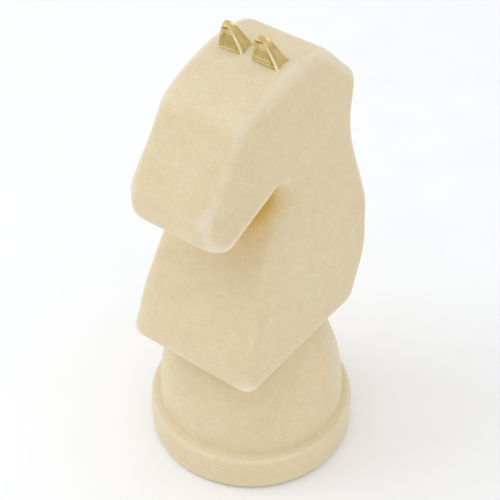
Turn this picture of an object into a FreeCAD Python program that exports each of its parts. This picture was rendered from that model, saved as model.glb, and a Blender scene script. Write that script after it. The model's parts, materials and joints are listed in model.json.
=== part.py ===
"""Giant chess knight, 297 mm tall: a carved stone head on a turned stone pedestal, with cast brass ears.

Frame: +Z up, millimetres. The origin is the middle of the rubber pad's lower face, on the turning
axis of the pedestal. The horse faces -Y, so its left side is +X.
"""
import FreeCAD, Part
import Sketcher
import os
import re

Vector = FreeCAD.Vector
os.makedirs("parts", exist_ok=True)
doc = FreeCAD.newDocument("giant_chess_knight")
sheet = doc.addObject("Spreadsheet::Sheet", "Sizes")

# ---------------------------------------------------------------- driving sizes, in millimetres
SIZES = {
    # plinth and bell, turned from one piece of stone
    "plinth_radius": 65.0,
    "plinth_bottom": 1.0,
    "plinth_foot_round": 2.0,
    "plinth_top": 26.4,
    "plinth_crease": 23.6,
    "rim_outer_round": 4.0,
    "rim_inner_radius": 60.2,
    "rim_inner_round": 1.4,
    "bell_radius": 58.3,
    "bell_waist_height": 65.8,
    "bell_waist_round": 105.0,
    "neck_radius": 39.4,
    # bedding resin between the two stones
    "seat_height": 93.6,
    "bed_thickness": 0.4,
    "bed_radius": 37.0,
    # head block
    "edge_round": 6.5,
    "waste": 12.0,
    # tie rod and its fittings
    "rod_radius": 5.0,
    "rod_bottom": 4.4,
    "rod_top": 128.0,
    "rod_chamfer": 0.8,
    "rod_hole_radius": 6.5,
    "anchor_radius": 7.5,
    "anchor_bottom": 95.0,
    "anchor_bore_top": 129.0,
    "anchor_top": 132.0,
    "anchor_hole_radius": 8.5,
    "anchor_hole_top": 134.0,
    "counterbore_radius": 16.5,
    "counterbore_top": 16.2,
    "washer_radius": 15.0,
    "washer_thickness": 2.5,
    "spring_washer_radius": 9.0,
    "spring_washer_thickness": 2.2,
    "spring_washer_split": 2.0,
    "nut_across_flats": 17.0,
    "nut_height": 6.4,
    "bore_gap": 0.25,
    # alignment dowels
    "dowel_radius": 4.0,
    "dowel_bottom": 78.6,
    "dowel_length": 30.0,
    "dowel_chamfer": 0.6,
    "dowel_offset": 27.0,
    "dowel_gap": 0.1,
    "dowel_end_gap": 1.0,
    # rubber pad, let into the underside
    "pad_radius": 60.0,
    "pad_thickness": 3.0,
    "pad_edge_gap": 0.3,
    "pad_chamfer": 0.5,
    # ears: places are measured from each ear's own middle and from its seat
    "ear_offset": 11.2,
    "ear_seat": 280.6,
    "ear_height": 17.8,
    "ear_inner": 8.6,
    "ear_outer": 8.2,
    "ear_front": 5.0,
    "ear_tail_across": 7.4,
    "ear_tail_back": 6.6,
    "ear_tail_height": 1.6,
    "ear_hollow_back": 3.0,
    "ear_hollow_height": 7.0,
    "ear_hollow_round": 9.0,
    "ear_nape_back": -2.4,
    "ear_nape_height": 18.8,
    "ear_tip_across": -4.8,
    "ear_tip_round": 1.7,
    "ear_scoop_depth": 1.2,
    "ear_scoop_rim": 2.6,
    "ear_scoop_lip": 2.4,
    "ear_scoop_top": 13.4,
    "ear_scoop_round": 0.8,
    "inlet_gap": 0.15,
    "stud_radius": 1.5,
    "stud_chamfer": 0.3,
    "stud_bottom": 262.0,
    "stud_top": 284.8,
    "stud_hole_radius": 2.3,
    "stud_hole_bottom": 260.5,
    "stud_across": 2.2,
    "stud_front": 0.7,
}

# The horse's side outline: a corner's name, how far back and how high it is, and the radius rounding it.
OUTLINE = (
    ("heel", 45.2, 93.6, 9.0),
    ("withers_low", 62.4, 126.0, 50.0),
    ("withers_high", 65.6, 162.0, 50.0),
    ("nape", 54.8, 214.0, 70.0),
    ("poll", 60.6, 249.6, 14.0),
    ("crown_back", 30.2, 280.9, 18.0),
    ("crown_front", 0.0, 282.8, 60.0),
    ("forehead", -44.4, 271.6, 20.0),
    ("brow", -52.0, 257.4, 24.0),
    ("nose", -75.8, 226.4, 12.0),
    ("lip", -72.4, 205.6, 10.0),
    ("chin", -60.6, 197.0, 8.5),
    ("gullet", -15.8, 215.6, 4.0),
    ("throat", -3.0, 206.5, 6.0),
    ("breast_high", -34.4, 177.0, 60.0),
    ("breast", -55.2, 134.0, 150.0),
    ("toe", -66.2, 93.6, 11.0),
)
for name, back, up, radius in OUTLINE:
    SIZES[name + "_back"] = back
    SIZES[name + "_up"] = up
    SIZES[name + "_round"] = radius

# The curve of the head's side, seen from the front: each control point's name, half width and height.
SIDE = (
    ("foot", 46.0, 80.0),
    ("hip", 44.3, 115.0),
    ("shoulder", 40.2, 165.0),
    ("jowl", 31.6, 210.0),
    ("temple", 29.4, 255.0),
    ("peak", 29.8, 296.0),
)
for name, half, up in SIDE:
    SIZES[name + "_half_width"] = half
    SIZES[name + "_height"] = up

for row, (alias, value) in enumerate(SIZES.items(), 1):
    sheet.set(f"A{row}", alias)
    sheet.set(f"B{row}", str(value))
    sheet.setAlias(f"B{row}", alias)
doc.recompute()


def value_of(expression):
    """The number that an expression over the sheet's aliases comes to."""
    return float(sheet.evalExpression(expression))


def bind(target, path, expression):
    """Ties a property or a constraint to an expression over the sheet's aliases."""
    linked = re.sub(r"[a-z_]+", lambda m: f"Sizes.{m[0]}" if m[0] in SIZES else m[0], expression)
    target.setExpression(path, linked)


# ---------------------------------------------------------------- sketches and features
def new_body(label):
    body = doc.addObject("PartDesign::Body", label)
    body.Label = label
    return body


def new_sketch(body, name, role, height="0"):
    """A sketch on one of the body's origin planes, lifted along the plane's normal."""
    sketch = body.newObject("Sketcher::SketchObject", name)
    plane = next(f for f in body.Origin.OriginFeatures if f.Role == role)
    sketch.AttachmentSupport = [(plane, "")]
    sketch.MapMode = "FlatFace"
    bind(sketch, "AttachmentOffset.Base.z", height)
    doc.recompute()
    return sketch


def hold(sketch, kind, geometry, expression, end=None):
    """Adds a Radius constraint, or a distance from the sketch's origin, that follows the sheet."""
    value = value_of(expression)
    if end is None:
        index = sketch.addConstraint(Sketcher.Constraint(kind, geometry, value))
    elif abs(value) < 1e-9:
        axis = -2 if kind == "DistanceX" else -1
        sketch.addConstraint(Sketcher.Constraint("PointOnObject", geometry, end, axis))
        return
    else:
        index = sketch.addConstraint(Sketcher.Constraint(kind, -1, 1, geometry, end, value))
    bind(sketch, f"Constraints[{index}]", expression)


def rounded_profile(sketch, corners):
    """A closed outline through corners, each (across, up, radius) as expressions; radius None is sharp.
    The corners stay pinned to their cells, and the fillets between the straight edges to theirs."""
    points = [Vector(value_of(x), value_of(y), 0) for x, y, _ in corners]
    count = len(points)
    first = sketch.GeometryCount
    for i in range(count):
        sketch.addGeometry(Part.LineSegment(points[i], points[(i + 1) % count]), False)
    for i, (across, up, _) in enumerate(corners):
        sketch.addConstraint(Sketcher.Constraint("Coincident", first + (i - 1) % count, 2, first + i, 1))
        hold(sketch, "DistanceX", first + i, across, 1)
        hold(sketch, "DistanceY", first + i, up, 1)
    for i, (_, _, radius) in enumerate(corners):
        if radius is None:
            continue
        before = first + (i - 1) % count
        after = first + i
        middles = [(sketch.Geometry[g].StartPoint + sketch.Geometry[g].EndPoint) * 0.5
                   for g in (before, after)]
        known = sketch.GeometryCount
        sketch.fillet(before, after, middles[0], middles[1], value_of(radius), True, True)
        arc = next(g for g in range(known, sketch.GeometryCount)
                   if isinstance(sketch.Geometry[g], Part.ArcOfCircle))
        hold(sketch, "Radius", arc, radius)


def circles(sketch, spots, radius):
    """Circles of one radius at spots, each (across, up) as expressions."""
    for across, up in spots:
        centre = Vector(value_of(across), value_of(up), 0)
        index = sketch.addGeometry(Part.Circle(centre, Vector(0, 0, 1), value_of(radius)), False)
        hold(sketch, "Radius", index, radius)
        hold(sketch, "DistanceX", index, across, 3)
        hold(sketch, "DistanceY", index, up, 3)


def revolved(body, name, corners):
    """A full turn of a closed outline in the XZ plane about Z."""
    sketch = new_sketch(body, name + "_profile", "XZ_Plane")
    rounded_profile(sketch, corners)
    turn = body.newObject("PartDesign::Revolution", name)
    turn.Profile = sketch
    turn.ReferenceAxis = (sketch, ["V_Axis"])
    turn.Angle = 360
    doc.recompute()
    return turn


def pad_up(body, name, sketch, length):
    pad = body.newObject("PartDesign::Pad", name)
    pad.Profile = sketch
    bind(pad, "Length", length)
    doc.recompute()
    return pad


def cut(body, name, sketch, length, along_normal):
    """A pocket from the sketch's plane, along its normal or against it; fails if it cuts nothing."""
    before = body.Shape.Volume
    pocket = body.newObject("PartDesign::Pocket", name)
    pocket.Profile = sketch
    pocket.Reversed = along_normal
    bind(pocket, "Length", length)
    doc.recompute()
    if body.Shape.Volume > before - 1.0:
        raise RuntimeError(f"{name} cut nothing from {body.Label}")
    return pocket


def drill(body, name, spots, radius, bottom, top):
    """Round holes up from the height bottom to the height top."""
    sketch = new_sketch(body, name + "_spots", "XY_Plane", bottom)
    circles(sketch, spots, radius)
    return cut(body, name, sketch, f"{top} - {bottom}", True)


def round_edges(body, name, edges, radius):
    fillet = body.newObject("PartDesign::Fillet", name)
    fillet.Base = (body.Group[-2], edges)
    bind(fillet, "Radius", radius)
    doc.recompute()
    return fillet


def break_edges(body, name, edges, size):
    chamfer = body.newObject("PartDesign::Chamfer", name)
    chamfer.Base = (body.Group[-2], edges)
    bind(chamfer, "Size", size)
    doc.recompute()
    return chamfer


def edges_at(shape, height, radius=None):
    """Names of the flat edges at a height; with radius, only the circles of that radius."""
    names = []
    for number, edge in enumerate(shape.Edges, 1):
        box = edge.BoundBox
        if box.ZMax - box.ZMin > 1e-4 or abs(box.ZMin - height) > 1e-4:
            continue
        if radius is None or abs(getattr(edge.Curve, "Radius", 0) - radius) < 1e-4:
            names.append(f"Edge{number}")
    return names


# ---------------------------------------------------------------- ears
EAR_OFFSETS = {"left": "ear_offset", "right": "-1 * ear_offset"}
STUD_SPOT = ("stud_across", "-1 * stud_front")


def ear_base(offset, gap):
    """The rounded triangle that an ear stands on, spread by a gap: two corners in front, one behind."""
    front = f"-1 * ear_front - {gap}"
    return (
        (f"{offset} - ear_inner - 3 * {gap}", front, None),
        (f"{offset} + ear_outer + {gap}", front, None),
        (f"{offset} + ear_tail_across + {gap}", f"ear_tail_back + 2 * {gap}", None),
    )


def make_ear(side):
    """A cast brass ear: a pointed shell, scooped in front, with a tapped hole for its stud."""
    ear = new_body(f"ear_{side}")
    front = new_sketch(ear, f"ear_{side}_front", "XZ_Plane", "-1 * ear_tail_back")
    rounded_profile(front, (
        ("-1 * ear_inner", "0", None),
        ("ear_outer", "0", None),
        ("ear_tip_across", "ear_height + ear_tip_round", "ear_tip_round"),
    ))
    pad_up(ear, f"ear_{side}_blank", front, "ear_tail_back + ear_front")
    back = new_sketch(ear, f"ear_{side}_back", "YZ_Plane", "-1 * ear_inner")
    rounded_profile(back, (
        ("ear_tail_back + waste", "ear_tail_height", None),
        ("ear_hollow_back", "ear_hollow_height", "ear_hollow_round"),
        ("ear_nape_back", "ear_nape_height", None),
        ("ear_tail_back + waste", "ear_nape_height", None),
    ))
    cut(ear, f"ear_{side}_back_waste", back, "ear_inner + ear_outer", True)
    plan = new_sketch(ear, f"ear_{side}_plan", "XY_Plane")
    rounded_profile(plan, (
        ("-1 * ear_inner", "-1 * ear_front", None),
        ("ear_tail_across", "ear_tail_back", None),
        ("ear_outer", "-1 * ear_front", None),
        ("ear_outer + waste", "-1 * ear_front", None),
        ("ear_outer + waste", "ear_tail_back + waste", None),
        ("-1 * ear_inner - waste", "ear_tail_back + waste", None),
        ("-1 * ear_inner - waste", "-1 * ear_front", None),
    ))
    cut(ear, f"ear_{side}_plan_waste", plan, "ear_nape_height", True)
    scoop = new_sketch(ear, f"ear_{side}_scoop_outline", "XZ_Plane", "ear_front - ear_scoop_depth")
    rounded_profile(scoop, (
        ("ear_scoop_rim - ear_inner", "ear_scoop_lip", "ear_scoop_round"),
        ("ear_outer - ear_scoop_rim", "ear_scoop_lip", "ear_scoop_round"),
        ("ear_tip_across", "ear_scoop_top", "ear_scoop_round"),
    ))
    cut(ear, f"ear_{side}_scoop", scoop, "ear_scoop_depth", True)
    drill(ear, f"ear_{side}_tapping", [STUD_SPOT], "stud_radius", "0", "(stud_top - ear_seat)")
    bind(ear, "Placement.Base.x", EAR_OFFSETS[side])
    bind(ear, "Placement.Base.z", "ear_seat")
    return ear


def make_ear_stud(side):
    """The threaded stud that holds an ear, screwed into the ear and bonded into the head."""
    stud = new_body(f"ear_stud_{side}")
    outline = new_sketch(stud, f"ear_stud_{side}_outline", "XY_Plane")
    circles(outline, [STUD_SPOT], "stud_radius")
    pad_up(stud, f"ear_stud_{side}_rod", outline, "stud_top - stud_bottom")
    break_edges(stud, f"ear_stud_{side}_end", edges_at(stud.Shape, 0.0), "stud_chamfer")
    bind(stud, "Placement.Base.x", EAR_OFFSETS[side])
    bind(stud, "Placement.Base.z", "stud_bottom")
    return stud


def make_ear_resin(side):
    """The resin that fills the stud's hole in the head, up to the ear's seat."""
    resin = new_body(f"ear_resin_{side}")
    outline = new_sketch(resin, f"ear_resin_{side}_outline", "XY_Plane")
    circles(outline, [STUD_SPOT], "stud_hole_radius")
    pad_up(resin, f"ear_resin_{side}_plug", outline, "ear_seat - stud_hole_bottom")
    depth = "(stud_bottom - stud_hole_bottom)"
    drill(resin, f"ear_resin_{side}_hole", [STUD_SPOT], "stud_radius", depth,
          "(ear_seat - stud_hole_bottom)")
    bind(resin, "Placement.Base.x", EAR_OFFSETS[side])
    bind(resin, "Placement.Base.z", "stud_hole_bottom")
    return resin


# ---------------------------------------------------------------- stones
DOWEL_SPOTS = {"front": ("0", "-1 * dowel_offset"), "back": ("0", "dowel_offset")}


def make_pedestal():
    """Plinth and bell in one turned piece, bored for the tie rod and drilled for the dowels."""
    pedestal = new_body("pedestal")
    recess = "pad_radius + pad_edge_gap"
    bell_top = "seat_height - bed_thickness"
    revolved(pedestal, "turning", (
        (recess, "plinth_bottom", None),
        ("plinth_radius", "plinth_bottom", "plinth_foot_round"),
        ("plinth_radius", "plinth_top", "rim_outer_round"),
        ("rim_inner_radius", "plinth_top", "rim_inner_round"),
        ("bell_radius", "plinth_crease", None),
        ("bell_radius", "bell_waist_height", "bell_waist_round"),
        ("neck_radius", bell_top, None),
        ("rod_hole_radius", bell_top, None),
        ("rod_hole_radius", "counterbore_top", None),
        ("counterbore_radius", "counterbore_top", None),
        ("counterbore_radius", "pad_thickness", None),
        (recess, "pad_thickness", None),
    ))
    drill(pedestal, "pedestal_dowel_holes", DOWEL_SPOTS.values(), "dowel_radius + dowel_gap",
          "dowel_bottom", "(seat_height - bed_thickness)")
    return pedestal


def side_waste(sketch, side):
    """Outline, seen from the front, of the stone sawn off one side of the block along the side's curve."""
    places = [(f"{side} * {name}_half_width", f"{name}_height") for name, *_ in SIDE]
    poles = [Vector(value_of(across), value_of(up), 0) for across, up in places]
    curve = Part.BSplineCurve()
    curve.buildFromPolesMultsKnots(poles, [4, 1, 1, 4], [0.0, 1.0, 2.0, 3.0], False, 3)
    spline = sketch.addGeometry(curve, False)
    sketch.exposeInternalGeometry(spline)
    shown = [g for g in range(spline + 1, sketch.GeometryCount)
             if isinstance(sketch.Geometry[g], Part.Circle)]
    for index, (across, up) in zip(shown, places):
        hold(sketch, "DistanceX", index, across, 3)
        hold(sketch, "DistanceY", index, up, 3)
    far = Vector(side * value_of("foot_half_width + waste"), 0, 0)
    top = Vector(far.x, poles[-1].y, 0)
    bottom = Vector(far.x, poles[0].y, 0)
    rail = sketch.addGeometry([
        Part.LineSegment(poles[-1], top),
        Part.LineSegment(top, bottom),
        Part.LineSegment(bottom, poles[0]),
    ], False)
    sketch.addConstraint([
        Sketcher.Constraint("Coincident", spline, 2, rail[0], 1),
        Sketcher.Constraint("Coincident", rail[0], 2, rail[1], 1),
        Sketcher.Constraint("Coincident", rail[1], 2, rail[2], 1),
        Sketcher.Constraint("Coincident", rail[2], 2, spline, 1),
        Sketcher.Constraint("Horizontal", rail[0]),
        Sketcher.Constraint("Vertical", rail[1]),
        Sketcher.Constraint("Horizontal", rail[2]),
    ])
    hold(sketch, "DistanceX", rail[1], f"{side} * (foot_half_width + waste)", 1)


def side_rim(shape):
    """Names of the edges where a side face of the head meets the faces of its outline."""
    names = []
    for number, edge in enumerate(shape.Edges, 1):
        flat_sides = 0
        for face in shape.ancestorsOfType(edge, Part.Face):
            u_low, u_high, v_low, v_high = face.ParameterRange
            normal = face.normalAt((u_low + u_high) / 2, (v_low + v_high) / 2)
            if abs(normal.x) > 0.7:
                flat_sides += 1
        if flat_sides == 1:
            names.append(f"Edge{number}")
    return names


def make_head():
    """The horse's head and neck: the side outline through the block, with sides that lean inwards."""
    head = new_body("knight_head")
    outline = new_sketch(head, "head_outline", "YZ_Plane")
    rounded_profile(outline, [(f"{n}_back", f"{n}_up", f"{n}_round") for n, *_ in OUTLINE])
    block = pad_up(head, "head_block", outline, "2 * foot_half_width")
    block.Midplane = True
    doc.recompute()
    waste = new_sketch(head, "side_waste", "XZ_Plane", "waste - nose_back")
    for side in (1, -1):
        side_waste(waste, side)
    cut(head, "side_cuts", waste, "withers_high_back - nose_back + 2 * waste", False)
    round_edges(head, "edge_rounds", side_rim(head.Shape), "edge_round")
    drill(head, "anchor_hole", [("0", "0")], "anchor_hole_radius", "seat_height", "anchor_hole_top")
    drill(head, "head_dowel_holes", DOWEL_SPOTS.values(), "dowel_radius + dowel_gap", "seat_height",
          "(dowel_bottom + dowel_length + dowel_end_gap)")
    spots = [(f"{offset} + {STUD_SPOT[0]}", STUD_SPOT[1]) for offset in EAR_OFFSETS.values()]
    drill(head, "stud_holes", spots, "stud_hole_radius", "stud_hole_bottom", "peak_height")
    inlets = new_sketch(head, "ear_inlet_outlines", "XY_Plane", "ear_seat")
    for offset in EAR_OFFSETS.values():
        rounded_profile(inlets, ear_base(offset, "inlet_gap"))
    cut(head, "ear_inlets", inlets, "waste", True)
    return head


# ---------------------------------------------------------------- fittings between and under the stones
def make_joint_bed():
    """The thin bed of stone resin between the pedestal and the head."""
    bed = new_body("joint_bed")
    outline = new_sketch(bed, "bed_outline", "XY_Plane")
    circles(outline, [("0", "0")], "bed_radius")
    pad_up(bed, "bed_disc", outline, "bed_thickness")
    drill(bed, "bed_rod_hole", [("0", "0")], "anchor_hole_radius", "0", "bed_thickness")
    drill(bed, "bed_dowel_holes", DOWEL_SPOTS.values(), "dowel_radius + dowel_gap", "0", "bed_thickness")
    bind(bed, "Placement.Base.z", "seat_height - bed_thickness")
    return bed


def make_dowel(place):
    """A stainless pin that stops the head from turning on the pedestal."""
    dowel = new_body(f"dowel_{place}")
    across, back = DOWEL_SPOTS[place]
    outline = new_sketch(dowel, f"dowel_{place}_outline", "XY_Plane")
    circles(outline, [("0", "0")], "dowel_radius")
    pad_up(dowel, f"dowel_{place}_pin", outline, "dowel_length")
    ends = edges_at(dowel.Shape, 0.0) + edges_at(dowel.Shape, value_of("dowel_length"))
    break_edges(dowel, f"dowel_{place}_ends", ends, "dowel_chamfer")
    bind(dowel, "Placement.Base.x", across)
    bind(dowel, "Placement.Base.y", back)
    bind(dowel, "Placement.Base.z", "dowel_bottom")
    return dowel


def make_tie_rod():
    rod = new_body("tie_rod")
    outline = new_sketch(rod, "rod_outline", "XY_Plane")
    circles(outline, [("0", "0")], "rod_radius")
    pad_up(rod, "rod_bar", outline, "rod_top - rod_bottom")
    ends = edges_at(rod.Shape, 0.0) + edges_at(rod.Shape, value_of("rod_top - rod_bottom"))
    break_edges(rod, "rod_ends", ends, "rod_chamfer")
    bind(rod, "Placement.Base.z", "rod_bottom")
    return rod


def make_head_anchor():
    """The threaded socket bonded into the head, closed at its top."""
    anchor = new_body("head_anchor")
    revolved(anchor, "anchor_turning", (
        ("rod_radius", "anchor_bottom", None),
        ("anchor_radius", "anchor_bottom", None),
        ("anchor_radius", "anchor_top", None),
        ("0", "anchor_top", None),
        ("0", "anchor_bore_top", None),
        ("rod_radius", "anchor_bore_top", None),
    ))
    return anchor


def make_anchor_resin():
    """The resin round and above the anchor, filling the rest of its hole."""
    resin = new_body("anchor_resin")
    revolved(resin, "resin_turning", (
        ("anchor_radius", "anchor_bottom", None),
        ("anchor_hole_radius", "anchor_bottom", None),
        ("anchor_hole_radius", "anchor_hole_top", None),
        ("0", "anchor_hole_top", None),
        ("0", "anchor_top", None),
        ("anchor_radius", "anchor_top", None),
    ))
    return resin


def make_clamp_washer():
    washer = new_body("clamp_washer")
    outline = new_sketch(washer, "washer_outline", "XY_Plane")
    circles(outline, [("0", "0")], "washer_radius")
    pad_up(washer, "washer_disc", outline, "washer_thickness")
    drill(washer, "washer_hole", [("0", "0")], "rod_radius + bore_gap", "0", "washer_thickness")
    bind(washer, "Placement.Base.z", "counterbore_top - washer_thickness")
    return washer


def make_spring_washer():
    """A split ring between the nut and the flat washer."""
    ring = new_body("spring_washer")
    outline = new_sketch(ring, "ring_outline", "XY_Plane")
    circles(outline, [("0", "0")], "spring_washer_radius")
    pad_up(ring, "ring_disc", outline, "spring_washer_thickness")
    drill(ring, "ring_hole", [("0", "0")], "rod_radius + bore_gap", "0", "spring_washer_thickness")
    split = new_sketch(ring, "ring_split_outline", "XY_Plane")
    half = "spring_washer_split / 2"
    rounded_profile(split, (
        ("rod_radius", f"-1 * {half}", None),
        ("spring_washer_radius + bore_gap", f"-1 * {half}", None),
        ("spring_washer_radius + bore_gap", half, None),
        ("rod_radius", half, None),
    ))
    cut(ring, "ring_split", split, "spring_washer_thickness", True)
    bind(ring, "Placement.Base.z", "counterbore_top - washer_thickness - spring_washer_thickness")
    return ring


def make_clamp_nut():
    nut = new_body("clamp_nut")
    outline = new_sketch(nut, "nut_outline", "XY_Plane")
    flat = "nut_across_flats / 2"
    corner = "nut_across_flats / sqrt(3)"
    rounded_profile(outline, (
        (f"-1 * {corner} / 2", f"-1 * {flat}", None),
        (f"{corner} / 2", f"-1 * {flat}", None),
        (corner, "0", None),
        (f"{corner} / 2", flat, None),
        (f"-1 * {corner} / 2", flat, None),
        (f"-1 * {corner}", "0", None),
    ))
    pad_up(nut, "nut_hexagon", outline, "nut_height")
    drill(nut, "nut_thread", [("0", "0")], "rod_radius", "0", "nut_height")
    stack = "washer_thickness - spring_washer_thickness - nut_height"
    bind(nut, "Placement.Base.z", f"counterbore_top - {stack}")
    return nut


def make_base_pad():
    """The rubber disc let into the underside, which also closes the counterbore."""
    pad = new_body("base_pad")
    outline = new_sketch(pad, "pad_outline", "XY_Plane")
    circles(outline, [("0", "0")], "pad_radius")
    pad_up(pad, "pad_disc", outline, "pad_thickness")
    break_edges(pad, "pad_edge", edges_at(pad.Shape, 0.0), "pad_chamfer")
    return pad


# ---------------------------------------------------------------- build, check and write
parts = [
    make_pedestal(),
    make_head(),
    make_joint_bed(),
    make_tie_rod(),
    make_head_anchor(),
    make_anchor_resin(),
    make_clamp_washer(),
    make_spring_washer(),
    make_clamp_nut(),
    make_base_pad(),
]
parts += [make_dowel(place) for place in DOWEL_SPOTS]
for side in EAR_OFFSETS:
    parts += [make_ear(side), make_ear_stud(side), make_ear_resin(side)]
doc.recompute()

for item in doc.Objects:
    if "Invalid" in item.State or "Error" in item.State:
        raise RuntimeError(f"{item.Label} failed: {item.getStatusString()}")
for part in parts:
    if part.Shape.isNull() or not part.Shape.isValid() or len(part.Shape.Solids) != 1:
        raise RuntimeError(f"{part.Label} is not one valid solid")
for part in parts:
    part.Shape.exportStep(f"parts/{part.Label}.step")
    print(f"{part.Label}: {part.Shape.Volume / 1000:.2f} cm3")
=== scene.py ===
"""Looks of the giant chess knight: hand-cut cream stone, pale brass ears, and a plain studio."""
import bpy
import bmesh
import json
import math
import numpy as np
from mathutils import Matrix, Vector, noise


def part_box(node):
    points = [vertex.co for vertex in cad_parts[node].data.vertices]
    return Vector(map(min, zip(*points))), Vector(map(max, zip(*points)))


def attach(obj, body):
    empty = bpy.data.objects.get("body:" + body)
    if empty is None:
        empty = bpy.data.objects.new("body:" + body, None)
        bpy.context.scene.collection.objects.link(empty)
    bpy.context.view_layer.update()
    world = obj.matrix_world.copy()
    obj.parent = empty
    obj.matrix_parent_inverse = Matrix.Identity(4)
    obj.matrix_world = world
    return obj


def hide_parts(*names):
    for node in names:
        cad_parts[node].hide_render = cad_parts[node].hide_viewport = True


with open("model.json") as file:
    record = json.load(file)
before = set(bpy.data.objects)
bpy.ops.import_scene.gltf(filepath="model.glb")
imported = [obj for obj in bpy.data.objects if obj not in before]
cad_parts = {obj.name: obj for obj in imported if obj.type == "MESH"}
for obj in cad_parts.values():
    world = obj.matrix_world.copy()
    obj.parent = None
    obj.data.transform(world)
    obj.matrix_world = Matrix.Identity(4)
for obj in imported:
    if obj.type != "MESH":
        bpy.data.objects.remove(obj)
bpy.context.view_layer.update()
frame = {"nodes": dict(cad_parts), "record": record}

MM = 0.001
scene = bpy.context.scene

# ---------------------------------------------------------------- places, from the frame
PLINTH_MM = 65.0  # the radii of the plinth and of the pad under it
PAD_MM = 60.0
PLINTH_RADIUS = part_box("base_pad")[1].x * PLINTH_MM / PAD_MM
EAR_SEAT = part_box("ear_left")[0].z
HEAD_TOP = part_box("knight_head")[1].z


# ---------------------------------------------------------------- mesh tools
def new_piece(name, data):
    """An object in the scene, around a mesh, a lamp or a camera."""
    piece = bpy.data.objects.new(name, data)
    scene.collection.objects.link(piece)
    return piece


def ramp(values, start, end):
    """0 before start, 1 after end, and a smooth rise between them."""
    t = np.clip((values - start) / (end - start), 0.0, 1.0)
    return t * t * (3.0 - 2.0 * t)


def vertices_of(mesh):
    """The vertices' places, one row each."""
    places = np.empty(len(mesh.vertices) * 3)
    mesh.vertices.foreach_get("co", places)
    return places.reshape(-1, 3)


def normals_of(mesh):
    """The vertices' normals, one row each."""
    normals = np.empty(len(mesh.vertices) * 3)
    mesh.vertex_normals.foreach_get("vector", normals)
    return normals.reshape(-1, 3)


def set_vertices(mesh, places):
    mesh.vertices.foreach_set("co", places.ravel())
    mesh.update()


def smooth_shading(mesh):
    mesh.polygons.foreach_set("use_smooth", [True] * len(mesh.polygons))


def even_quads(piece, size):
    """Rebuilds a closed mesh in quads of one size."""
    remesh = piece.modifiers.new("even_quads", "REMESH")
    remesh.mode = "VOXEL"
    remesh.voxel_size = size
    graph = bpy.context.evaluated_depsgraph_get()
    mesh = bpy.data.meshes.new_from_object(piece.evaluated_get(graph))
    piece.modifiers.clear()
    piece.data = mesh


def relaxed(mesh, places, strength, rounds):
    """Vertices moved again and again towards the mean of their neighbours, by strength from 0 to 1."""
    edges = np.empty(len(mesh.edges) * 2, dtype=np.int64)
    mesh.edges.foreach_get("vertices", edges)
    one, other = edges.reshape(-1, 2).T
    start = np.concatenate([one, other])
    end = np.concatenate([other, one])
    count = np.bincount(start, minlength=len(places))
    for _ in range(rounds):
        mean = np.stack([np.bincount(start, places[end, k], len(places)) for k in range(3)], 1)
        places = places + strength[:, None] * 0.5 * (mean / count[:, None] - places)
    return places


def uneven(mesh, places, height, width):
    """Vertices pushed in along their normals by a slow fixed wave, as hand rubbing leaves a surface."""
    wave = np.array([noise.noise(Vector(p) / width) for p in places])
    return places + normals_of(mesh) * (height * (wave - 1.0))[:, None] * 0.5


def mark_relief(mesh, places, rounds, deepest):
    """Stores how proud of a smoother surface vertices stand: 1 on crests, 0.5 on flats, 0 in hollows."""
    smoother = relaxed(mesh, places, np.ones(len(places)), rounds)
    proud = ((places - smoother) * normals_of(mesh)).sum(1)
    relief = mesh.attributes.new("relief", "FLOAT", "POINT")
    shares = np.clip(0.5 + 0.5 * proud / deepest, 0.0, 1.0)
    relief.data.foreach_set("value", shares.astype(np.float32))


# ---------------------------------------------------------------- stones
STONE_QUAD = 1.2 * MM
WAVE_WIDTH = 22 * MM  # of the unevenness that rubbing leaves

# the crown under the ears
WELD = 0.001 * MM  # vertices nearer than this become one
SEAT_LIP = 0.1 * MM  # the cut reaches this far above the seats,
SEAT_MARGIN = 1.0 * MM  # this far under the resin and beside the ears,
SEAT_HALF_DEPTH = 9.0 * MM  # and this far to front and back

# the head: bands of height, and bands of distance ahead of the middle (the nose) or behind it
THROAT_HEIGHTS = (184 * MM, 194 * MM)
TAPER = 0.16  # the share of its width that the muzzle loses over its length
TAPER_START = -26 * MM
TAPER_LENGTH = 50 * MM
SOCKET_REACH = 36 * MM
SOCKET_TOP = 136 * MM
FIRST_ROUNDS = 4
MUZZLE_AHEAD = (35 * MM, 75 * MM)
MUZZLE_SHARE = 0.5
BROW_AHEAD = (15 * MM, 40 * MM)
BROW_HEIGHTS = (225 * MM, 250 * MM)
BROW_ROUNDS = 50

# the breast's rounding starts under the jaw's lower edge, a sloping line, and grows more slowly
# further back
JAW_HEIGHT = 197 * MM
JAW_AHEAD = 60.6 * MM
JAW_SLOPE = 0.415
JAW_GAP = 1 * MM
FADE_AHEAD = 22 * MM
FADE_SHORTEST = 6 * MM
FADE_GROWTH = 40 * MM
BREAST_BEHIND = (-4 * MM, 16 * MM)
BREAST_HEIGHTS = (95 * MM, 115 * MM)
BREAST_ROUNDS = 150

CREST_AHEAD = (25 * MM, 60 * MM)
CREST_ROUNDS = 60
CREST_GAIN = 1.6
HEAD_RELIEF = (20, 0.6 * MM)
HEAD_WAVE = 0.35 * MM

# the pedestal: what is nearer its axis than this stays as cut
BORE_REACH = 38 * MM
PEDESTAL_ROUNDS = 5
PEDESTAL_RELIEF = (20, 1.1 * MM)
PEDESTAL_WAVE = 0.25 * MM


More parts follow.
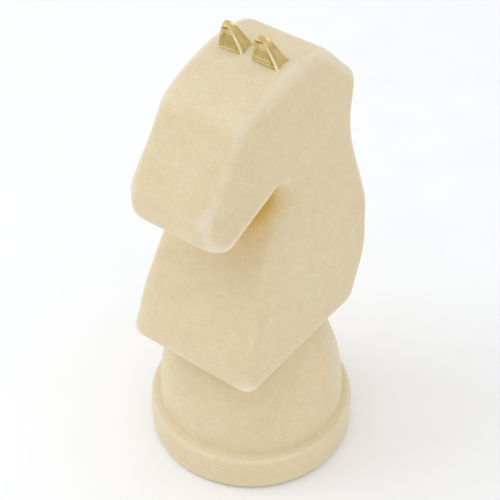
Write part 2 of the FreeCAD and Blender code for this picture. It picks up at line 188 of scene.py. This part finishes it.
def close_ear_seats(mesh):
    """Takes the ears' inlets and stud holes out of the head's crown, and closes it over them."""
    work = bmesh.new()
    work.from_mesh(mesh)
    bmesh.ops.remove_doubles(work, verts=work.verts, dist=WELD)
    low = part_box("ear_resin_left")[0].z - SEAT_MARGIN
    high = EAR_SEAT + SEAT_LIP
    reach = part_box("ear_left")[1].x + SEAT_MARGIN
    inside = {v for v in work.verts
              if low < v.co.z < high and abs(v.co.x) < reach and abs(v.co.y) < SEAT_HALF_DEPTH}
    bmesh.ops.delete(work, geom=list(inside), context="VERTS")
    bmesh.ops.holes_fill(work, edges=[e for e in work.edges if e.is_boundary], sides=0)
    bmesh.ops.triangulate(work, faces=[f for f in work.faces if len(f.verts) > 4])
    work.to_mesh(mesh)
    work.free()


def finished(mesh, places, relief, wave):
    """The stone's last steps: its relief is stored, and its surface is left slightly uneven."""
    set_vertices(mesh, places)
    mark_relief(mesh, places, *relief)
    set_vertices(mesh, uneven(mesh, places, wave, WAVE_WIDTH))
    smooth_shading(mesh)


def make_head():
    head = new_piece("head_stone", frame["nodes"]["knight_head"].data.copy())
    close_ear_seats(head.data)
    even_quads(head, STONE_QUAD)
    mesh = head.data
    places = vertices_of(mesh)
    x, y, z = places.T
    # the muzzle narrows towards the nose
    above_throat = ramp(z, *THROAT_HEIGHTS)
    places[:, 0] = x * (1.0 - TAPER * above_throat * np.clip((TAPER_START - y) / TAPER_LENGTH, 0.0, 1.0))
    # sockets for the rod and the dowels stay as cut
    socket = (np.abs(x) < SOCKET_REACH) & (np.abs(y) < SOCKET_REACH) & (z < SOCKET_TOP)
    free = np.where(socket, 0.0, 1.0)
    places = relaxed(mesh, places, free, FIRST_ROUNDS)
    # corners are rubbed rounder over the brow and at the muzzle's end, and most of all down the breast
    muzzle = above_throat * ramp(-y, *MUZZLE_AHEAD)
    brow = ramp(-y, *BROW_AHEAD) * ramp(z, *BROW_HEIGHTS)
    places = relaxed(mesh, places, np.maximum(MUZZLE_SHARE * muzzle, brow), BROW_ROUNDS)
    jaw_height = JAW_HEIGHT + (y + JAW_AHEAD) * JAW_SLOPE
    fade = FADE_SHORTEST + np.clip(y + FADE_AHEAD, 0.0, FADE_GROWTH)
    breast = ramp(jaw_height - z, JAW_GAP, JAW_GAP + fade) * (1.0 - ramp(y, *BREAST_BEHIND))
    breast *= ramp(z, *BREAST_HEIGHTS)
    places = relaxed(mesh, places, free * breast, BREAST_ROUNDS)
    # down the muzzle the round between front and side is drawn out sideways to a crisper crest
    smoother = relaxed(mesh, places, free, CREST_ROUNDS)
    face = above_throat * ramp(-y, *CREST_AHEAD)
    places[:, 0] += CREST_GAIN * (1.0 - breast) * face * (places - smoother)[:, 0]
    finished(mesh, places, HEAD_RELIEF, HEAD_WAVE)
    return head


def make_pedestal():
    pedestal = new_piece("pedestal_stone", frame["nodes"]["pedestal"].data.copy())
    even_quads(pedestal, STONE_QUAD)
    mesh = pedestal.data
    places = vertices_of(mesh)
    outside = np.where(np.hypot(places[:, 0], places[:, 1]) > BORE_REACH, 1.0, 0.0)
    places = relaxed(mesh, places, outside, PEDESTAL_ROUNDS)
    finished(mesh, places, PEDESTAL_RELIEF, PEDESTAL_WAVE)
    return pedestal


# ---------------------------------------------------------------- ears
EAR_FORMS = {
    # where the foot's inner front, outer front and tail corners and the tip are, across and back
    # in the ear's box
    "ear_left": ((-0.07, 0.06), (1.05, 0.07), (1.16, 1.34), (0.27, 0.27)),
    "ear_right": ((-0.01, -0.03), (0.98, 0.13), (1.06, 1.40), (0.25, 0.31)),
}
EAR_FRONT_STEPS = 48
EAR_SIDE_STEPS = 24
EAR_LEVELS = 60
EAR_CROWDING = 1.2  # how much the levels crowd towards the tip
EAR_TOP_LEVEL = 0.9995
EAR_CORNER_ROUNDS = 16
# how the front's edges close towards the tip
EAR_INNER_POWERS = (3, 0.75)
EAR_OUTER_LEAN = 1.13
EAR_OUTER_POWER = 1.35
# the back ridge's dome, across and back: the dome's share, its power, and the foot's flare
EAR_RIDGE_ACROSS = (0.35, 3, 0.15)
EAR_RIDGE_BACK = (0.25, 4, 0.15)
EAR_FLARE_POWER = 4
# how far the outer and the inner side swell at the foot, across and back in the ear's box
EAR_OUTER_SWELL = (-0.08, 0.0)
EAR_INNER_SWELL = (-0.04, 0.07)
# the hollow front: its depth, the bands from either edge and of height over which it deepens,
# and its top
EAR_SCOOP = 1.4 * MM
SCOOP_FROM_INNER = (-1.0 * MM, 2.8 * MM)
SCOOP_FROM_OUTER = (1.2 * MM, 2.4 * MM)
SCOOP_STEP = 0.30
SCOOP_STEP_HEIGHTS = (1.9 * MM, 2.5 * MM)
SCOOP_REST = 0.70
SCOOP_REST_HEIGHTS = (2.5 * MM, 9.0 * MM)
SCOOP_TOP = (11.7 * MM, 12.9 * MM)
# the rim between front and side: how far its roll stands out, how wide it is, and which way it leans
EAR_ROLL = 0.7 * MM
EAR_ROLL_REACH = 1.3 * MM
EAR_ROLL_LEAN = np.array((0.75, -0.65))
EAR_ROLL_FADE = 4
EAR_RELIEF = (30, 0.25 * MM)


def domed(level, share, power, flare):
    """How near the foot a corner is at a level: a straight lean mixed with a dome, and a flared foot."""
    lean = (1.0 - share) * (1.0 - level) + share * math.sqrt(1.0 - level ** power)
    return (1.0 - flare) * lean + flare * (1.0 - level) ** EAR_FLARE_POWER


def ear_ring(form, level):
    """One level's outline, across and back in shares of the ear's box: front, outer side, inner side."""
    inner, outer, tail, tip = (Vector(corner) for corner in form)
    power, root = EAR_INNER_POWERS
    inner_share = (1.0 - level ** power) ** root
    outer_share = max(1.0 - EAR_OUTER_LEAN * level ** EAR_OUTER_POWER, 0.0)
    front_inner = Vector((tip.x + (inner.x - tip.x) * inner_share,
                          tip.y + (inner.y - tip.y) * (1.0 - level)))
    front_outer = Vector((tip.x + (outer.x - tip.x) * outer_share,
                          tip.y + (outer.y - tip.y) * (1.0 - level)))
    ridge = Vector((tip.x + (tail.x - tip.x) * domed(level, *EAR_RIDGE_ACROSS),
                    tip.y + (tail.y - tip.y) * domed(level, *EAR_RIDGE_BACK)))
    ring = [front_inner.lerp(front_outer, i / EAR_FRONT_STEPS) for i in range(EAR_FRONT_STEPS)]
    sides = ((front_outer, ridge, EAR_OUTER_SWELL), (ridge, front_inner, EAR_INNER_SWELL))
    for start, end, swell in sides:
        for i in range(EAR_SIDE_STEPS):
            t = i / EAR_SIDE_STEPS
            ring.append(start.lerp(end, t) + Vector(swell) * math.sin(math.pi * t) * (1.0 - level))
    return ring


def scooped(from_inner, from_outer, up):
    """How deep a point of the front lies in its hollow, 0 to 1: a spoon, shallow above its lip."""
    across = ramp(from_inner, *SCOOP_FROM_INNER) * ramp(from_outer, *SCOOP_FROM_OUTER)
    along = SCOOP_STEP * ramp(up, *SCOOP_STEP_HEIGHTS) + SCOOP_REST * ramp(up, *SCOOP_REST_HEIGHTS)
    return across * along * (1.0 - ramp(up, *SCOOP_TOP))


def ear_levels(node):
    """The ear's outlines from its foot to its tip, with the front scooped and its outer rim rolled."""
    low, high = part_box(node)
    size = high - low
    levels = []
    for k in range(EAR_LEVELS):
        rise = math.sin(0.5 * math.pi * k / (EAR_LEVELS - 1)) ** EAR_CROWDING
        level = min(rise, EAR_TOP_LEVEL)
        ring = np.array([(p.x * size.x, p.y * size.y) for p in ear_ring(EAR_FORMS[node], level)])
        for _ in range(EAR_CORNER_ROUNDS):
            ring = 0.5 * ring + 0.25 * (np.roll(ring, 1, 0) + np.roll(ring, -1, 0))
        start = ring[0, 0]
        end = ring[EAR_FRONT_STEPS, 0]
        away = np.hypot(*(ring - ring[EAR_FRONT_STEPS]).T) / EAR_ROLL_REACH
        roll = EAR_ROLL * np.exp(-away ** 2) * (1.0 - level ** EAR_ROLL_FADE)
        up = level * size.z
        for i in range(EAR_FRONT_STEPS):
            ring[i, 1] += EAR_SCOOP * scooped(ring[i, 0] - start, end - ring[i, 0], up)
        ring += roll[:, None] * EAR_ROLL_LEAN
        levels.append([Vector((low.x + across, low.y + back, low.z + up)) for across, back in ring])
    return levels


def make_ear(node):
    """A pointed brass shell on a three-cornered foot, with a hollow front inside a smooth rim."""
    work = bmesh.new()
    grid = [[work.verts.new(p) for p in ring] for ring in ear_levels(node)]
    for under, over in zip(grid, grid[1:]):
        for i in range(len(under)):
            work.faces.new((under[i - 1], under[i], over[i], over[i - 1]))
    work.faces.new(reversed(grid[0]))
    work.faces.new(grid[-1])
    bmesh.ops.recalc_face_normals(work, faces=work.faces)
    mesh = bpy.data.meshes.new(node + "_brass")
    work.to_mesh(mesh)
    work.free()
    mark_relief(mesh, vertices_of(mesh), *EAR_RELIEF)
    smooth_shading(mesh)
    piece = new_piece(node + "_brass", mesh)
    finer = piece.modifiers.new("finer", "SUBSURF")
    finer.levels = 1
    finer.render_levels = 1
    return piece


# ---------------------------------------------------------------- material tools
def new_material(name):
    """A material with its shader and a vector of object coordinates."""
    material = bpy.data.materials.new(name)
    material.use_nodes = True
    nodes = material.node_tree.nodes
    place = nodes.new("ShaderNodeTexCoord").outputs["Object"]
    return material, nodes, material.node_tree.links, nodes["Principled BSDF"], place


def noise_of(nodes, links, place, size, detail):
    """Soft noise from 0 to 1 whose blotches are about size metres wide."""
    texture = nodes.new("ShaderNodeTexNoise")
    texture.inputs["Scale"].default_value = 1.0 / size
    texture.inputs["Detail"].default_value = detail
    links.new(place, texture.inputs["Vector"])
    return texture.outputs["Fac"]


def between(nodes, links, factor, low, high, start=0.3, end=0.7):
    """A number or a colour that goes from low to high as factor goes from start to end."""
    if isinstance(low, tuple):
        stops = nodes.new("ShaderNodeValToRGB")
        stops.color_ramp.elements[0].position = start
        stops.color_ramp.elements[1].position = end
        stops.color_ramp.elements[0].color = low + (1.0,)
        stops.color_ramp.elements[1].color = high + (1.0,)
        links.new(factor, stops.inputs["Fac"])
        return stops.outputs["Color"]
    span = nodes.new("ShaderNodeMapRange")
    for socket, value in (("From Min", start), ("From Max", end), ("To Min", low), ("To Max", high)):
        span.inputs[socket].default_value = value
    links.new(factor, span.inputs["Value"])
    return span.outputs["Result"]


def mixed(nodes, links, factor, one, other, blend="MIX"):
    """A blend of two colours; factor, one and other are each a node's output or a plain value."""
    mix = nodes.new("ShaderNodeMix")
    mix.data_type = "RGBA"
    mix.blend_type = blend
    for name, value in (("Factor", factor), ("A", one), ("B", other)):
        socket = mix.inputs[name]
        if isinstance(value, float):
            socket.default_value = value
        elif isinstance(value, tuple):
            socket.default_value = value + (1.0,)
        else:
            links.new(value, socket)
    return mix.outputs["Result"]


def bump(nodes, links, height, distance, strength, under=None):
    """A bumped normal, on top of another one if under is given."""
    node = nodes.new("ShaderNodeBump")
    node.inputs["Distance"].default_value = distance
    node.inputs["Strength"].default_value = strength
    links.new(height, node.inputs["Height"])
    if under is not None:
        links.new(under, node.inputs["Normal"])
    return node.outputs["Normal"]


def relief_of(nodes):
    """What mark_relief stored: 1 on crests, 0.5 on flats, 0 in hollows."""
    relief = nodes.new("ShaderNodeAttribute")
    relief.attribute_name = "relief"
    return relief.outputs["Fac"]


# ---------------------------------------------------------------- materials
WHITE = (1.0, 1.0, 1.0)

STONE_CLOUD_SIZE = 60 * MM
STONE_CLOUDS = ((0.748, 0.621, 0.408), (0.773, 0.660, 0.455))
STONE_PATCH_SIZE = 7 * MM
STONE_PATCHES = ((0.715, 0.575, 0.355), (0.80, 0.695, 0.485))
STONE_PATCH_SHARE = 0.35
# painted highlight: the paler colour given to the stone's crests
STONE_PAINTED_CREST_HIGHLIGHT = (0.85, 0.79, 0.68)
STONE_PAINTED_CREST_HIGHLIGHT_MOST = 0.78
# painted shade: sheltered places, found by ambient occlusion this far around, are given a honey colour
# and, deepest, a darker one
STONE_PAINTED_SHADE_REACH = 45 * MM
STONE_PAINTED_SHADE_HONEY = (0.92, 0.77, 0.46)
STONE_PAINTED_SHADE_HONEY_MOST = 0.9
STONE_PAINTED_HOLLOW_SHADE = (0.74, 0.50, 0.07)
STONE_CRYSTAL_SIZE = 0.7 * MM
STONE_SHADE = (0.93, 0.92, 0.89)
# painted glint: the paler colour given to a few crystals
STONE_PAINTED_GLINT = (0.90, 0.83, 0.68)
STONE_PAINTED_GLINT_MOST = 0.42
STONE_ROUGHNESS = 0.52
STONE_GLINT_ROUGHNESS = 0.38
STONE_GRAIN_SIZE = 1.6 * MM
STONE_PORE_SIZE = 5 * MM

BRASS_TARNISH_SIZE = 5 * MM
BRASS_COLOURS = ((0.60, 0.45, 0.165), (0.78, 0.60, 0.285))
# painted shade: the dark colour given to the ears' hollows
BRASS_PAINTED_HOLLOW_SHADE = (0.30, 0.22, 0.08)
# painted highlight: the bright colour given to the ears' crests and rims
BRASS_PAINTED_CREST_HIGHLIGHT = (0.96, 0.86, 0.60)
BRASS_PAINTED_CREST_HIGHLIGHT_MOST = 0.9
BRASS_RUB_SIZE = 1.2 * MM
BRASS_ROUGHNESS = (0.14, 0.26)
BRASS_DENT_SIZE = 2.5 * MM

STEEL_STRETCH = (1.0, 1.0, 0.04)
STEEL_LINE_WIDTH = 0.4 * MM
STEEL_COLOURS = ((0.55, 0.55, 0.56), (0.66, 0.66, 0.67))
STEEL_ROUGHNESS = (0.24, 0.42)

RESIN_DUST_SIZE = 1.0 * MM
RESIN_COLOURS = ((0.60, 0.50, 0.34), (0.74, 0.64, 0.46))

RUBBER_GRAIN_SIZE = 0.8 * MM
RUBBER_COLOURS = ((0.018, 0.018, 0.018), (0.035, 0.034, 0.033))


def stone_material():
    """Honed cream marble: slow cloudy colour, a fine crystal grain with rare painted glints, a painted
    highlight on crests, painted shade where it is sheltered, and depth.
    """
    material, nodes, links, shader, place = new_material("cream_stone")
    clouds = noise_of(nodes, links, place, STONE_CLOUD_SIZE, detail=3.0)
    colour = between(nodes, links, clouds, *STONE_CLOUDS)
    patches = noise_of(nodes, links, place, STONE_PATCH_SIZE, detail=4.0)
    colour = mixed(nodes, links, STONE_PATCH_SHARE, colour,
                   between(nodes, links, patches, *STONE_PATCHES))
    # crests get a painted highlight: a paler colour where the relief stands high
    painted_crest_highlight = between(nodes, links, relief_of(nodes), 0.0, STONE_PAINTED_CREST_HIGHLIGHT_MOST, start=0.66, end=0.93)
    colour = mixed(nodes, links, painted_crest_highlight, colour, STONE_PAINTED_CREST_HIGHLIGHT)
    # the stone is painted honey where its own shape shelters it, and darker in the deepest hollows:
    # painted shade, from ambient occlusion
    painted_shade_occlusion = nodes.new("ShaderNodeAmbientOcclusion")
    painted_shade_occlusion.only_local = True
    painted_shade_occlusion.inputs["Distance"].default_value = STONE_PAINTED_SHADE_REACH
    painted_shade_honey = between(nodes, links, painted_shade_occlusion.outputs["AO"], STONE_PAINTED_SHADE_HONEY_MOST, 0.0, start=0.35, end=0.85)
    colour = mixed(nodes, links, painted_shade_honey, colour, STONE_PAINTED_SHADE_HONEY)
    painted_hollow_shade = between(nodes, links, painted_shade_occlusion.outputs["AO"], 1.0, 0.0, start=0.37, end=0.57)
    colour = mixed(nodes, links, painted_hollow_shade, colour, STONE_PAINTED_HOLLOW_SHADE)
    # each crystal has its own tone, and a few get a painted glint: a paler colour, with a lower
    # roughness
    crystals = nodes.new("ShaderNodeTexVoronoi")
    crystals.inputs["Scale"].default_value = 1.0 / STONE_CRYSTAL_SIZE
    links.new(place, crystals.inputs["Vector"])
    split = nodes.new("ShaderNodeSeparateColor")
    links.new(crystals.outputs["Color"], split.inputs["Color"])
    shade = between(nodes, links, split.outputs["Red"], STONE_SHADE, WHITE, start=0.0, end=1.0)
    colour = mixed(nodes, links, 1.0, colour, shade, "MULTIPLY")
    painted_glint = between(nodes, links, split.outputs["Green"], 0.0, STONE_PAINTED_GLINT_MOST, start=0.985, end=0.990)
    colour = mixed(nodes, links, painted_glint, colour, STONE_PAINTED_GLINT)
    links.new(colour, shader.inputs["Base Color"])
    roughness = between(nodes, links, painted_glint, STONE_ROUGHNESS, STONE_GLINT_ROUGHNESS,
                        start=0.0, end=STONE_PAINTED_GLINT_MOST)
    links.new(roughness, shader.inputs["Roughness"])
    grain = noise_of(nodes, links, place, STONE_GRAIN_SIZE, detail=3.0)
    pores = noise_of(nodes, links, place, STONE_PORE_SIZE, detail=2.0)
    normal = bump(nodes, links, pores, distance=0.25 * MM, strength=0.35)
    normal = bump(nodes, links, grain, distance=0.12 * MM, strength=0.45, under=normal)
    links.new(normal, shader.inputs["Normal"])
    shader.inputs["Sheen Weight"].default_value = 0.34
    shader.inputs["Sheen Tint"].default_value = (1.0, 0.95, 0.82, 1.0)
    shader.inputs["Sheen Roughness"].default_value = 0.35
    shader.inputs["Subsurface Weight"].default_value = 0.6
    shader.inputs["Subsurface Radius"].default_value = (1.0, 0.8, 0.5)
    shader.inputs["Subsurface Scale"].default_value = 5 * MM
    shader.inputs["IOR"].default_value = 1.5
    return material


def brass_material():
    """Pale cast brass, with a painted highlight on its crests and painted shade in its hollows."""
    material, nodes, links, shader, place = new_material("pale_brass")
    tarnish = noise_of(nodes, links, place, BRASS_TARNISH_SIZE, detail=4.0)
    colour = between(nodes, links, tarnish, *BRASS_COLOURS)
    relief = relief_of(nodes)
    # painted shade darkens the hollows and a painted highlight lightens the crests, both read from the
    # stored relief
    painted_hollow_shade = between(nodes, links, relief, 1.0, 0.0, start=0.05, end=0.40)
    colour = mixed(nodes, links, painted_hollow_shade, colour, BRASS_PAINTED_HOLLOW_SHADE)
    painted_crest_highlight = between(nodes, links, relief, 0.0, BRASS_PAINTED_CREST_HIGHLIGHT_MOST, start=0.62, end=0.90)
    colour = mixed(nodes, links, painted_crest_highlight, colour, BRASS_PAINTED_CREST_HIGHLIGHT)
    links.new(colour, shader.inputs["Base Color"])
    rubbing = noise_of(nodes, links, place, BRASS_RUB_SIZE, detail=5.0)
    links.new(between(nodes, links, rubbing, *BRASS_ROUGHNESS), shader.inputs["Roughness"])
    dents = noise_of(nodes, links, place, BRASS_DENT_SIZE, detail=2.0)
    normal = bump(nodes, links, dents, distance=0.12 * MM, strength=0.30)
    links.new(normal, shader.inputs["Normal"])
    shader.inputs["Metallic"].default_value = 1.0
    return material


def steel_material():
    """Stainless bar and fasteners, with fine drawn lines along the bar."""
    material, nodes, links, shader, place = new_material("stainless_steel")
    stretch = nodes.new("ShaderNodeMapping")
    stretch.inputs["Scale"].default_value = STEEL_STRETCH
    links.new(place, stretch.inputs["Vector"])
    lines = noise_of(nodes, links, stretch.outputs["Vector"], STEEL_LINE_WIDTH, detail=4.0)
    links.new(between(nodes, links, lines, *STEEL_COLOURS), shader.inputs["Base Color"])
    links.new(between(nodes, links, lines, *STEEL_ROUGHNESS), shader.inputs["Roughness"])
    links.new(bump(nodes, links, lines, distance=0.03 * MM, strength=0.3), shader.inputs["Normal"])
    shader.inputs["Metallic"].default_value = 1.0
    return material


def resin_material():
    """Stone bonding resin, filled with marble dust."""
    material, nodes, links, shader, place = new_material("bonding_resin")
    dust = noise_of(nodes, links, place, RESIN_DUST_SIZE, detail=4.0)
    links.new(between(nodes, links, dust, *RESIN_COLOURS), shader.inputs["Base Color"])
    links.new(bump(nodes, links, dust, distance=0.05 * MM, strength=0.4), shader.inputs["Normal"])
    shader.inputs["Roughness"].default_value = 0.62
    return material


def rubber_material():
    """Black rubber sheet with a fine cast grain."""
    material, nodes, links, shader, place = new_material("rubber_sheet")
    grain = noise_of(nodes, links, place, RUBBER_GRAIN_SIZE, detail=3.0)
    links.new(between(nodes, links, grain, *RUBBER_COLOURS), shader.inputs["Base Color"])
    links.new(bump(nodes, links, grain, distance=0.06 * MM, strength=0.5), shader.inputs["Normal"])
    shader.inputs["Roughness"].default_value = 0.82
    return material


# ---------------------------------------------------------------- studio
SKY_HORIZON = (0.69, 0.65, 0.555)
SKY_ABOVE = (0.94, 0.97, 1.03)
FLOOR_HALF = 4.0
FLOOR_BLOTCH_SIZE = 40 * MM
FLOOR_COLOURS = ((0.950, 0.940, 0.920), (0.965, 0.955, 0.935))

# the camera's turn and tilt in degrees, its lens in mm, and its places in plinth radii
CAMERA_TURN = 37.2
CAMERA_TILT = 41.83
CAMERA_LENS = 100.15
CAMERA_SENSOR = 36.0
CAMERA_HEIGHT = 2.204
CAMERA_ASIDE = 0.012
CAMERA_DISTANCE = 12.684


def aim(thing, place, target):
    """Puts a lamp or the camera at place, looking at target."""
    thing.location = place
    thing.rotation_euler = (Vector(place) - Vector(target)).to_track_quat("Z", "Y").to_euler()


def softbox(name, place, size, power, colour):
    """A square lamp aimed at the knight's middle."""
    lamp = bpy.data.lights.new(name, "AREA")
    lamp.size = size
    lamp.energy = power
    lamp.color = colour
    holder = new_piece(name, lamp)
    aim(holder, place, (0.0, 0.0, 0.5 * HEAD_TOP))


def make_world():
    """A pale sky, cool above and warmer towards the horizon."""
    world = bpy.data.worlds.new("studio")
    scene.world = world
    world.use_nodes = True
    nodes = world.node_tree.nodes
    links = world.node_tree.links
    split = nodes.new("ShaderNodeSeparateXYZ")
    links.new(nodes.new("ShaderNodeTexCoord").outputs["Generated"], split.inputs["Vector"])
    sky = between(nodes, links, split.outputs["Z"], SKY_HORIZON, SKY_ABOVE, start=0.0, end=0.7)
    links.new(sky, nodes["Background"].inputs["Color"])
    nodes["Background"].inputs["Strength"].default_value = 1.0


def make_floor():
    """A plain pale floor, which isn't part of the object."""
    mesh = bpy.data.meshes.new("floor")
    corners = [(-1, -1), (1, -1), (1, 1), (-1, 1)]
    mesh.from_pydata([(FLOOR_HALF * x, FLOOR_HALF * y, 0) for x, y in corners], [], [(0, 1, 2, 3)])
    floor = new_piece("floor", mesh)
    material, nodes, links, shader, place = new_material("pale_floor")
    paper = noise_of(nodes, links, place, FLOOR_BLOTCH_SIZE, detail=3.0)
    links.new(between(nodes, links, paper, *FLOOR_COLOURS), shader.inputs["Base Color"])
    shader.inputs["Roughness"].default_value = 0.9
    mesh.materials.append(material)


def make_studio():
    softbox("key", place=(-0.85, -0.62, 1.35), size=0.9, power=5.2, colour=(0.92, 0.98, 1.06))
    softbox("side", place=(1.30, -0.80, 0.45), size=0.7, power=1.5, colour=(1.0, 0.88, 0.58))
    make_world()
    make_floor()


def make_camera():
    """The photograph's view: from the horse's left front, well above it."""
    turn = math.radians(CAMERA_TURN)
    tilt = math.radians(CAMERA_TILT)
    right = Vector((math.cos(turn), math.sin(turn), 0.0))
    back = Vector((math.sin(turn) * math.cos(tilt), -math.cos(turn) * math.cos(tilt), math.sin(tilt)))
    middle = Vector((0.0, 0.0, CAMERA_HEIGHT * PLINTH_RADIUS))
    target = middle - right * CAMERA_ASIDE * PLINTH_RADIUS
    lens = bpy.data.cameras.new("camera")
    lens.sensor_width = CAMERA_SENSOR
    lens.lens = CAMERA_LENS
    camera = new_piece("camera", lens)
    aim(camera, target + back * CAMERA_DISTANCE * PLINTH_RADIUS, target)
    scene.camera = camera


# ---------------------------------------------------------------- the whole
MATERIALS = {
    "stone": stone_material(),
    "brass": brass_material(),
    "steel": steel_material(),
    "resin": resin_material(),
    "rubber": rubber_material(),
}


def dress(piece, node, slot):
    """A new piece stands for a CAD node, with that slot's material."""
    piece.data.materials.clear()
    piece.data.materials.append(MATERIALS[slot])
    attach(piece, "root")
    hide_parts(node)


for row in frame["record"]["subparts"]:
    for material_slot in frame["nodes"][row["node"]].material_slots:
        material_slot.material = MATERIALS[row["material_slot"]]
dress(make_head(), "knight_head", "stone")
dress(make_pedestal(), "pedestal", "stone")
for node in EAR_FORMS:
    dress(make_ear(node), node, "brass")
make_studio()
make_camera()
scene.view_settings.view_transform = "Standard"
